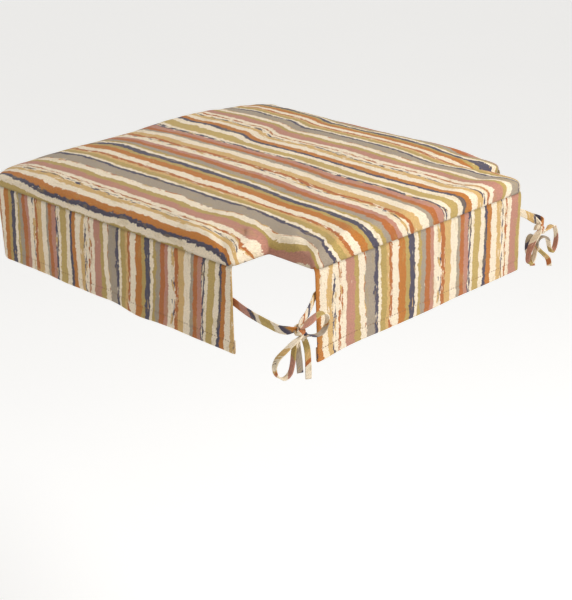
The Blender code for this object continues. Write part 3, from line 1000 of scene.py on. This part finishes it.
def side_flare(distance, low):
    """How far the side skirt's cloth hangs along its own line."""
    return 0.0030 * low ** 1.5 * hump(distance, 0.0, 0.060)


def side_cloth(distance, down):
    """Place across the stripes on the side skirt; they crowd near its left end and lean forwards."""
    crowded = 0.0062 * max(0.0, 1 - distance / 0.034) ** 2 - 0.0040 * smoothstep(0.03, 0.10, distance)
    return SIDE_START - distance + crowded + SIDE_PRINT_LEAN * down


def back_sway(distance, low):
    from_left = BACK_LENGTH - distance
    long_wave = 0.0022 * wave(from_left * 10.0, 31.0, 0.0)
    return (long_wave + 0.0038 * hump(from_left, 0.0, 0.024) * low) * low ** 1.4


def back_droop(distance):
    return 0.0010 * wave((BACK_LENGTH - distance) * 14.0, 51.0, 0.0)


def back_flare(distance, low):
    return 0.0036 * low ** 2 * hump(BACK_LENGTH - distance, 0.0, 0.035)


def back_cloth(distance, down):
    """Place across the stripes on the rear skirt, the same all the way down."""
    return NAVY_END + BACK_NAVY_X + BACK_LENGTH / 2 - distance


def build_skirts():
    build_skirt(
        "skirt_sides", side_path(), (side_sway, side_droop, side_flare), side_cloth, "skirt_front_sides",
    )
    build_skirt("skirt_back", back_path(), (back_sway, back_droop, back_flare), back_cloth, "skirt_rear")


# ================================================================ ties
# Routes of the ties in millimetres, from where each is sewn in behind the skirt to its free end.
LEFT_SIDE_ROUTE = [
    (193.0, 168, -35), (193.0, 178, -36), (193.6, 189, -38.2), (194, 201, -40.2), (193.8, 215, -42),
    (193.6, 230, -43.2), (193.2, 240, -43.8), (191.5, 246.8, -43.4), (188, 250.5, -43.3),
    (184, 252.3, -43.6), (181.5, 253.5, -44.6), (180.5, 255.2, -46.5), (182, 257, -48.6),
    (186, 257.6, -50), (192.5, 257, -52.5), (199, 254.5, -58), (205, 250, -66), (207, 247.5, -75),
    (204.5, 247.5, -83.5), (199, 250, -87.5), (194, 253, -83), (192, 254.8, -73.5),
    (190.5, 255, -63.5), (188, 254, -57.5), (184.8, 252.3, -54.6), (182, 250.5, -56),
    (180.6, 249.4, -61), (179.5, 249.2, -69), (178.8, 249.4, -79), (178.5, 249.6, -89),
]
LEFT_REAR_ROUTE = [
    (136, 240.1, -22), (144, 240.1, -24.5), (150, 240.6, -26.5), (155, 243.4, -29),
    (161, 246.3, -32), (167, 248.6, -35.4), (173, 250, -38.6), (178.5, 251.3, -40.6),
    (182, 253.6, -41.6), (183.2, 256.6, -41.2), (180.6, 258.8, -39.6), (175.5, 259.6, -37.5),
    (168, 259, -35), (160, 258, -34), (152.5, 256.3, -36.5), (148, 255, -42.5), (149.5, 254.8, -50),
    (156, 255.8, -54.5), (163.5, 257, -54.5), (170, 257.6, -52.6), (174, 256.4, -51),
    (175.4, 253.6, -51.8), (174, 250.8, -55.5), (171, 249.6, -61), (168.6, 249.3, -70),
    (168, 249.3, -84), (168.5, 249.5, -99),
]
RIGHT_SIDE_ROUTE = [
    (-193.0, 168, -35), (-193.0, 178, -35.5), (-193.8, 189, -37), (-194.2, 201, -38.5),
    (-194, 215, -40), (-193.8, 230, -41), (-193.2, 240, -41.5), (-190, 247, -42),
    (-183, 250.5, -42.5), (-177, 251.8, -43.5), (-174, 253, -44.6), (-172.8, 255.2, -46),
    (-174.3, 257.4, -47.2), (-178, 258.3, -47.5), (-185, 257.5, -46.8), (-193, 255, -46),
    (-203, 252, -49), (-210.5, 250, -57), (-214, 249, -68), (-211.5, 249, -78),
    (-205.5, 249.5, -81), (-199.5, 250.5, -73), (-194, 252, -63.5), (-187, 253.5, -57.5),
    (-181, 252.9, -56), (-177, 251.2, -57.2), (-175.9, 249.6, -61.2), (-178, 248.8, -67),
    (-184.5, 248.8, -74), (-193, 249, -81), (-200, 249.5, -88), (-203.5, 249.5, -97),
]
RIGHT_REAR_ROUTE = [
    (-136, 240.1, -18.5), (-144, 240.1, -20), (-150, 240.3, -22), (-155, 243.2, -24),
    (-160, 246, -27), (-165.5, 248.5, -31), (-170, 251.2, -35), (-171.9, 255, -38.2),
    (-169.6, 258, -41.8), (-165.2, 258.4, -46.5), (-160, 256.5, -54), (-157, 254.5, -64),
    (-156.8, 253, -73), (-158.4, 252.6, -79), (-162.3, 252.6, -82), (-166.2, 252.9, -79),
    (-167.8, 253.5, -73), (-168.6, 254, -65), (-169.2, 253.9, -57), (-168.6, 252.9, -52.4),
    (-166, 251, -50.4), (-163, 249.2, -52.4), (-161.6, 248.4, -58), (-162, 248.2, -67),
    (-167, 248.2, -77), (-172.5, 248.6, -88),
]
TIE_STEP = 0.0014
KNOT_STEPS = 40
KNOT_RADII = Vector((0.0044, 0.0046, 0.0))
# Half of a folded strip's cross-section: across and thick, from 0 to 1 of the half sizes.
STRIP_SECTION = [(1.0, 0.0), (0.97, 0.55), (0.86, 0.92), (0.62, 1.0), (0.50, 0.82), (0.38, 1.0), (0.0, 1.06)]


def smooth_route(points, spacing):
    """Evenly spaced points along a Catmull-Rom curve through the route, in metres, and its length."""
    knots = [np.array(p) * MM for p in points]
    dense = []
    for index in range(len(knots) - 1):
        p0, p1 = knots[max(index - 1, 0)], knots[index]
        p2, p3 = knots[index + 1], knots[min(index + 2, len(knots) - 1)]
        for step in range(24):
            t = step / 24
            dense.append(0.5 * (2 * p1 + (p2 - p0) * t + (2 * p0 - 5 * p1 + 4 * p2 - p3) * t * t
                                + (3 * p1 - p0 - 3 * p2 + p3) * t * t * t))
    dense = np.array(dense + [knots[-1]])
    along = distances_along(dense)
    at = np.linspace(0, along[-1], round(along[-1] / spacing) + 1)
    return np.column_stack([np.interp(at, along, dense[:, k]) for k in range(3)]), along[-1]


def ribbon_frame(line, turns):
    """Directions along a ribbon and across it; turns gives the way across at shares of its length."""
    tangents = unit_rows(np.gradient(line, axis=0))
    shares = np.linspace(0.0, 1.0, len(line))
    keys = np.array([share for share, _ in turns])
    ways = unit_rows(np.array([way for _, way in turns], float))
    across = np.column_stack([np.interp(shares, keys, ways[:, k]) for k in range(3)])
    across -= (across * tangents).sum(1)[:, None] * tangents
    return tangents, unit_rows(across)


def strip_ring():
    """The whole cross-section of a folded strip."""
    upper = STRIP_SECTION + [(-a, t) for a, t in reversed(STRIP_SECTION[:-1])]
    return np.array(upper + [(a, -t) for a, t in reversed(upper[1:-1])])


def build_tie(name, route, turns, knot, start, replaced):
    """A tie's folded strip along its route; start is where its print begins on the cloth."""
    line, length = smooth_route(route, TIE_STEP)
    tangents, across = ribbon_frame(line, turns)
    flat = np.cross(across, tangents)
    ring = strip_ring()
    points, cloth = [], []
    for index, place in enumerate(line):
        pinch = smoothstep(0.003, 0.012, np.linalg.norm(place - np.array(knot)))
        slack = 1 - 0.26 * smoothstep(0.36, 0.50, index / len(line))
        width = TIE_WIDTH / 2 * slack * (0.62 + 0.38 * pinch) * (1 + 0.10 * wave(index * 0.09, start, 1.0))
        thick = TIE_THICKNESS / 2 * (1.35 - 0.35 * pinch)
        cup = 0.0007 * wave(index * 0.06, start, 5.0) * pinch
        along = index * TIE_STEP
        for a, t in ring:
            points.append(place + across[index] * a * width + flat[index] * (t * thick + cup * (1 - a * a)))
            cloth.append((start + along * 0.55 + 0.5 * a * width, a * width + 0.3 * along + 0.004 * t))
    tie = mesh_object(name, points, tube_faces(len(line), len(ring)), [CLOTH_TIES])
    set_fabric(tie, cloth)
    face_outward(tie)
    register(tie, replaced)
    return tie, line, length


def build_knot(name, centre, lean, start):
    """The short wrap that holds a bow: a band of the same strip drawn round the crossing."""
    ring = strip_ring()
    points, cloth = [], []
    for step in range(KNOT_STEPS):
        angle = 2 * math.pi * step / KNOT_STEPS
        bulge = 1 + 0.07 * math.sin(3 * angle + start * 40)
        radial = Vector((math.cos(angle), math.sin(angle), 0.0))
        place = radial * KNOT_RADII * bulge + Vector((0.0, 0.0, 0.0008 * math.sin(2 * angle)))
        for a, t in ring:
            points.append(centre + lean @ (place + Vector((0, 0, a * 0.0030)) + radial * t * 0.0008))
            cloth.append((start + angle * 0.0048 + 0.3 * a * 0.0036, a * 0.0036))
    faces = grid_faces(KNOT_STEPS, len(ring), closed=True, looped=True)
    knot = mesh_object(name, points, faces, [CLOTH_TIES])
    set_fabric(knot, cloth)
    face_outward(knot)
    register(knot)
    return knot


def build_ties():
    upright, outward = (0, 0, 1), (0, 1, 0)
    lean = Matrix.Rotation(math.radians(24), 3, "Y")
    left_face, right_face = (-0.9, 0.45, 0.0), (-0.5, 0.85, 0.0)
    side_turns = [(0.0, upright), (0.36, upright), (0.46, outward), (0.80, outward)]
    rear_turns = [(0.0, upright), (0.25, upright), (0.33, outward), (0.66, outward)]
    knots = {
        "left": build_knot("knot_left", KNOT_LEFT, lean, 0.128),
        "right": build_knot("knot_right", KNOT_RIGHT, lean.inverted(), 0.375),
    }
    for label, route, centre, face, start in (
        ("left_side", LEFT_SIDE_ROUTE, KNOT_LEFT, left_face, 0.158),
        ("left_rear", LEFT_REAR_ROUTE, KNOT_LEFT, left_face, 0.2145),
        ("right_side", RIGHT_SIDE_ROUTE, KNOT_RIGHT, right_face, 0.410),
        ("right_rear", RIGHT_REAR_ROUTE, KNOT_RIGHT, right_face, 0.700),
    ):
        hand, panel = label.split("_")
        if panel == "side":
            turns, pieces = side_turns + [(0.93, face), (1.0, face)], [knots[hand]]
        else:
            turns, pieces = rear_turns + [(0.86, face), (1.0, face)], []
        tie, line, length = build_tie("tie_ribbon_" + label, route, turns, centre, start, "tie_" + label)


# ================================================================ lining
LINING_INSET = 0.0012
LINING_STEP = 0.007
LINING_THICKNESS = 0.0010
LINING_PRINT_SHIFT = 0.06
FOLD_ROWS = (0.0005, 0.0010, 0.0017, 0.0030, 0.0045)
FACING_START = 0.1604
FACING_LENGTH = 0.0195
FACING_HALF = 0.0165
FACING_THICKNESS = 0.0007


def lining_cloth(points):
    return [(NAVY_END + TOP_NAVY_X + LINING_PRINT_SHIFT - point[0], point[1]) for point in points]


def build_slot_facing(name, side):
    """A turning of the lining that closes the slot behind one end of the zip."""
    points = []
    for row in range(9):
        for column in range(17):
            x = side * (FACING_START + FACING_LENGTH * row / 8)
            y = ZIP_Y + FACING_HALF * (column / 8 - 1)
            points.append((x, y, 0.0047 + 0.00025 * wave(x * 160, y * 160, 70.0)))
    patch = mesh_object(name, points, grid_faces(9, 17), [CLOTH_LINING])
    # Painted shade: the whole facing is darkened evenly, as it lies back in the slot.
    set_fabric(patch, lining_cloth(points), 0.5)
    solidify(patch, FACING_THICKNESS, offset=0.0)
    register(patch)
    return patch


def lining_boundary(facing, near, away):
    """Corner points of one half of the lining; its folded edge lies away from the zip along the slot."""
    kept = [tuple(p) for p in outline(LINING_INSET) if (p[1] - ZIP_Y) * facing > 0.0005]
    limit = side_x(near) - LINING_INSET
    edge = [(-limit, near), (-SLOT_END, near), (-SLOT_END, away), (SLOT_END, away), (SLOT_END, near),
            (limit, near)]
    if facing < 0:
        first = next(i for i, p in enumerate(kept) if p[0] < 0)
        kept = kept[first:] + kept[:first]
        edge.reverse()
    for here, there in zip(edge, edge[1:]):
        count = max(1, round(math.dist(here, there) / 0.004))
        kept += [tuple(np.array(here) + (np.array(there) - here) * s / count) for s in range(count)]
    return kept + [edge[-1]]


def lining_inside(boundary, facing, away, far):
    """Points inside one half of the lining: rows along its fold, and a grid of triangles beyond."""
    extra = []
    for offset in FOLD_ROWS:
        extra += [(x, away + facing * offset) for x in np.arange(-SLOT_END + 0.002, SLOT_END, 0.004)]
    y = away + facing * 0.0085
    row = 0
    while (far - y) * facing > 0.004:
        shift = LINING_STEP / 2 * (row % 2)
        extra += [(x, y) for x in np.arange(-FRONT_WIDTH / 2, FRONT_WIDTH / 2, LINING_STEP) + shift]
        y += facing * LINING_STEP * 0.87
        row += 1
    extra = np.array(extra)
    clear = distance_inside(extra, np.array(boundary)) > 0.0025
    near_fold = (np.abs(extra[:, 0]) < SLOT_END - 0.001) & (np.abs(extra[:, 1] - away) < 0.0048)
    return extra[clear | near_fold]


def lining_relief(plan, facing, away):
    """Height of each point of the lining, and its painted shade: darker near its outer edge and along the
    fold at the zip.
    """
    points, shade = [], []
    for (x, y), depth in zip(plan, distance_inside(plan, outline(0.0))):
        fold = abs(y - away) if abs(x) < SLOT_END + 0.0002 and (y - away) * facing > -0.0001 else 1.0
        curl = 0.0013 * (1 - min(fold / 0.0016, 1.0)) ** 2
        edge_lift = 0.0007 * (1 - smoothstep(0.001, 0.006, depth))
        soft = max(0.0005 * wave(x * 22, y * 22, 60.0 + facing) + 0.0004, 0.0)
        level = min(1.0, depth / 0.02) * min(1.0, fold / 0.02)
        points.append((x, y, 0.0002 + curl + edge_lift + soft * level))
        # Painted shade: up to 0.5 within 4 mm of the seam, up to 0.35 within 3 mm of the fold.
        shade.append(max(0.5 * (1 - min(depth / 0.004, 1.0)), 0.35 * (1 - min(fold / 0.003, 1.0))))
    return points, shade


def face_down(obj):
    bm = bmesh.new()
    bm.from_mesh(obj.data)
    for face in bm.faces:
        if face.normal.z > 0:
            face.normal_flip()
    bm.to_mesh(obj.data)
    bm.free()


def build_lining(name, facing, replaced):
    """One half of the underside: flat, with a folded edge along the zip; facing is 1 to the rear."""
    near, away = ZIP_Y + facing * 0.00015, ZIP_Y + facing * SLOT_HALF
    far = FRONT_Y if facing < 0 else REAR_Y
    boundary = lining_boundary(facing, near, away)
    plan, faces = fill_plan(boundary, lining_inside(boundary, facing, away, far))
    points, shade = lining_relief(plan, facing, away)
    lining = mesh_object(name, points, faces, [CLOTH_LINING])
    set_fabric(lining, lining_cloth(plan), shade)
    face_down(lining)
    solidify(lining, LINING_THICKNESS)
    register(lining, replaced)
    if facing > 0:
        facings = [build_slot_facing("slot_facing_left", 1), build_slot_facing("slot_facing_right", -1)]


# ================================================================ stitching
STITCH_LENGTH = 0.0027
STITCH_GAP = 0.0010
THREAD_RADIUS = 0.00032
STITCH_SIDES = 6
STITCH_STATIONS = 5


def stitch_row(name, path, normals):
    """A row of sewn stitches along a path: each a short thread that dips in at both ends."""
    along = distances_along(path)

    def at(values, distance):
        return np.array([np.interp(distance, along, values[:, k]) for k in range(3)])

    verts, faces = [], []
    for index in range(int(along[-1] / (STITCH_LENGTH + STITCH_GAP))):
        begin = index * (STITCH_LENGTH + STITCH_GAP) + STITCH_GAP / 2
        faces += tube_faces(STITCH_STATIONS, STITCH_SIDES, first=len(verts))
        for share in np.linspace(0.0, 1.0, STITCH_STATIONS):
            distance = begin + share * STITCH_LENGTH
            place, normal = at(path, distance), at(normals, distance)
            ahead = at(path, distance + 0.0002) - place
            ahead /= max(np.linalg.norm(ahead), 1e-9)
            side = np.cross(ahead, normal)
            side /= np.linalg.norm(side)
            lift = math.sin(math.pi * share)
            thick = THREAD_RADIUS * (0.45 + 0.55 * lift)
            centre = place + normal * (THREAD_RADIUS * (lift * 0.9 - 0.55))
            for corner in range(STITCH_SIDES):
                angle = 2 * math.pi * corner / STITCH_SIDES
                verts.append(centre + (side * math.cos(angle) + normal * math.sin(angle)) * thick)
    row = mesh_object(name, verts, faces, [THREAD])
    face_outward(row)
    register(row)


def hem_stitches(name, path, sway, droop):
    """The hem's stitching on a skirt, on its outer face."""
    _, level = path_frame(path)
    normals = np.column_stack([level, np.zeros(len(path))])
    z = HEM_Z + HEM
    low = z / HEM_Z
    line = []
    for place, normal, distance in zip(path, level, distances_along(path)):
        x, y = place + normal * (sway(distance, low) + CLOTH_THICKNESS / 2 - 0.00022)
        line.append((x, y, z + droop(distance) * low ** 2))
    stitch_row(name, np.array(line), normals)


def build_stitching():
    hem_stitches("hem_stitches_sides", side_path(), side_sway, side_droop)
    hem_stitches("hem_stitches_back", back_path(), back_sway, back_droop)
    reach = SLOT_END - 0.001
    for label, facing in (("front", -1), ("rear", 1)):
        y = ZIP_Y + facing * (SLOT_HALF + 0.0030)
        line = np.array([(x, y, 0.0001) for x in np.linspace(-reach, reach, 90)])
        stitch_row("zip_stitches_" + label, line, np.tile([0.0, 0.0, -1.0], (len(line), 1)))


# ================================================================ zip
COIL_PITCH = 0.0014
COIL_END = 0.0004
COIL_STATIONS = 12
COIL_OVERLAP = 0.0007
COIL_HALF_HEIGHT = 0.00075
WIRE_RADIUS = 0.00032
WIRE_SIDES = 5
SLIDER_PLATE = 0.0009
SLIDER_GAP = 0.0003
PLATE_BEVEL = 0.00022


def coil_turn(x, outer, middle_z, facing, reach):
    """Points of one turn of a coil: a flat loop of wire, thicker at the tooth that meets the other half."""
    points = []
    for station in range(COIL_STATIONS):
        angle = 2 * math.pi * station / COIL_STATIONS
        y = outer - facing * (reach + COIL_OVERLAP) / 2 * (1 + math.cos(angle))
        z = middle_z + COIL_HALF_HEIGHT * math.sin(angle)
        radius = WIRE_RADIUS * (1.35 if station in (0, 1, COIL_STATIONS - 1) else 1.0)
        for corner in range(WIRE_SIDES):
            turn = 2 * math.pi * corner / WIRE_SIDES
            points.append((
                x + radius * math.cos(turn),
                y - facing * radius * math.sin(turn) * math.cos(angle),
                z + radius * math.sin(turn) * math.sin(angle),
            ))
    return points


def build_coil(label, facing):
    low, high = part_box("zip_coil_" + label)
    outer = high.y if facing > 0 else low.y
    stagger = 0.5 if facing > 0 else 0.0
    verts, faces = [], []
    for index in range(int((high.x - low.x) / COIL_PITCH)):
        x = low.x + (index + stagger) * COIL_PITCH + COIL_END
        if x <= high.x - COIL_END:
            faces += grid_faces(COIL_STATIONS, WIRE_SIDES, closed=True, looped=True, first=len(verts))
            verts += coil_turn(x, outer, (low.z + high.z) / 2, facing, high.y - low.y)
    coil = mesh_object("coil_teeth_" + label, verts, faces, [COIL])
    face_outward(coil)
    register(coil, "zip_coil_" + label)


def dress_nodes(names, material):
    """Gives CAD nodes that stay in the picture their material."""
    for name in names:
        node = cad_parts[name]
        node.data.materials.clear()
        node.data.materials.append(material)


def prism(bm, corners, low, high, bevel):
    """An upright block with rounded edges."""
    lower = [bm.verts.new((x, y, low)) for x, y in corners]
    upper = [bm.verts.new((x, y, high)) for x, y in corners]
    made = [bm.faces.new(list(reversed(lower))), bm.faces.new(upper)]
    for i in range(len(corners)):
        j = (i + 1) % len(corners)
        made.append(bm.faces.new((lower[i], lower[j], upper[j], upper[i])))
    edges = list({edge for face in made for edge in face.edges})
    bmesh.ops.bevel(bm, geom=edges, offset=bevel, segments=2, profile=0.7, affect="EDGES")


def mirrored(corners):
    """A closed shape from its half below the x axis."""
    return corners + [(x, -y) for x, y in reversed(corners)]


def metal_piece(bm, name, place):
    """Turns finished blocks into a nickel piece at its place."""
    bmesh.ops.recalc_face_normals(bm, faces=bm.faces)
    bmesh.ops.translate(bm, verts=bm.verts, vec=place)
    mesh = bpy.data.meshes.new(name)
    bm.to_mesh(mesh)
    bm.free()
    mesh.materials.append(NICKEL)
    mesh.shade_smooth()
    mesh.set_sharp_from_angle(angle=math.radians(40))
    return new_object(name, mesh)


def build_slider():
    """Two plates with a web between them at the nose, and two lugs for the pull."""
    low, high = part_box("zip_slider")
    coil_low, coil_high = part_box("zip_coil_front")
    half_x, half_y = (high.x - low.x) / 2, (high.y - low.y) / 2
    below, above = coil_low.z - SLIDER_GAP, coil_high.z + SLIDER_GAP
    body = mirrored([
        (-half_x, -half_y * 0.66), (-half_x * 0.2, -half_y * 0.86), (half_x * 0.45, -half_y),
        (half_x * 0.9, -half_y * 0.82), (half_x, -half_y * 0.45),
    ])
    web = mirrored([(half_x * 0.45, -0.0005), (half_x * 0.85, -0.0009)])
    bm = bmesh.new()
    prism(bm, body, below - SLIDER_PLATE, below, PLATE_BEVEL)
    prism(bm, [(x * 0.93, y * 0.86) for x, y in body], above, above + SLIDER_PLATE, PLATE_BEVEL)
    prism(bm, web, below - 0.0003, above + 0.0003, 0.0001)
    for y in (-half_y, half_y - 0.0008):
        prism(bm, box_corners(-0.0013, 0.0013, y, y + 0.0008), low.z, below - 0.0004, 0.0002)
    slider = metal_piece(bm, "slider_body", ((low.x + high.x) / 2, (low.y + high.y) / 2, 0.0))
    register(slider, "zip_slider", body="zip_slider_body")


def build_pull():
    """A waisted tab with a rim round its hole's place and three ridges, on both faces."""
    low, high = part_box("zip_pull_tab")
    slider_low, slider_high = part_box("zip_slider")
    thick, half = high.z - low.z, (high.y - low.y) / 2
    tip = -(high.x - low.x - 0.0005)
    shape = mirrored([
        (0.0005, -half), (-0.0058, -half), (-0.0085, -half * 0.62), (-0.0150, -half * 0.62),
        (-0.0180, -half), (tip + 0.0018, -half), (tip, -half * 0.45),
    ])
    angles = [2 * math.pi * step / 14 for step in range(14)]
    rim = [(tip + 0.0050 + 0.0013 * math.cos(angle), 0.0013 * math.sin(angle)) for angle in angles]
    reliefs = [(rim, 0.00012, 0.00004)]
    for x in (-0.0102, -0.0118, -0.0134):
        reliefs.append((box_corners(x - 0.0004, x + 0.0004, -half * 0.45, half * 0.45), 0.00014, 0.00005))
    bm = bmesh.new()
    prism(bm, shape, -thick / 2, thick / 2, 0.0002)
    for corners, rise, bevel in reliefs:
        prism(bm, corners, -thick / 2 - rise, -thick / 2, bevel)
        prism(bm, corners, thick / 2, thick / 2 + rise, bevel)
    place = ((slider_low.x + slider_high.x) / 2, (slider_low.y + slider_high.y) / 2, (low.z + high.z) / 2)
    register(metal_piece(bm, "pull_tab", place), "zip_pull_tab", body="zip_pull_body")


def build_zip():
    dress_nodes(("zip_tape_front", "zip_tape_rear"), TAPE)
    dress_nodes(("zip_top_stop_front", "zip_top_stop_rear", "zip_bottom_stop"), NICKEL)
    build_coil("front", -1)
    build_coil("rear", 1)
    build_slider()
    build_pull()


# ================================================================ making
make_camera()
make_studio()
build_ties()
build_skirts()
build_pad_top()
build_foam()
build_lining("lining_front", -1, "bottom_front_panel")
build_lining("lining_rear", 1, "bottom_rear_panel")
build_zip()
build_stitching()
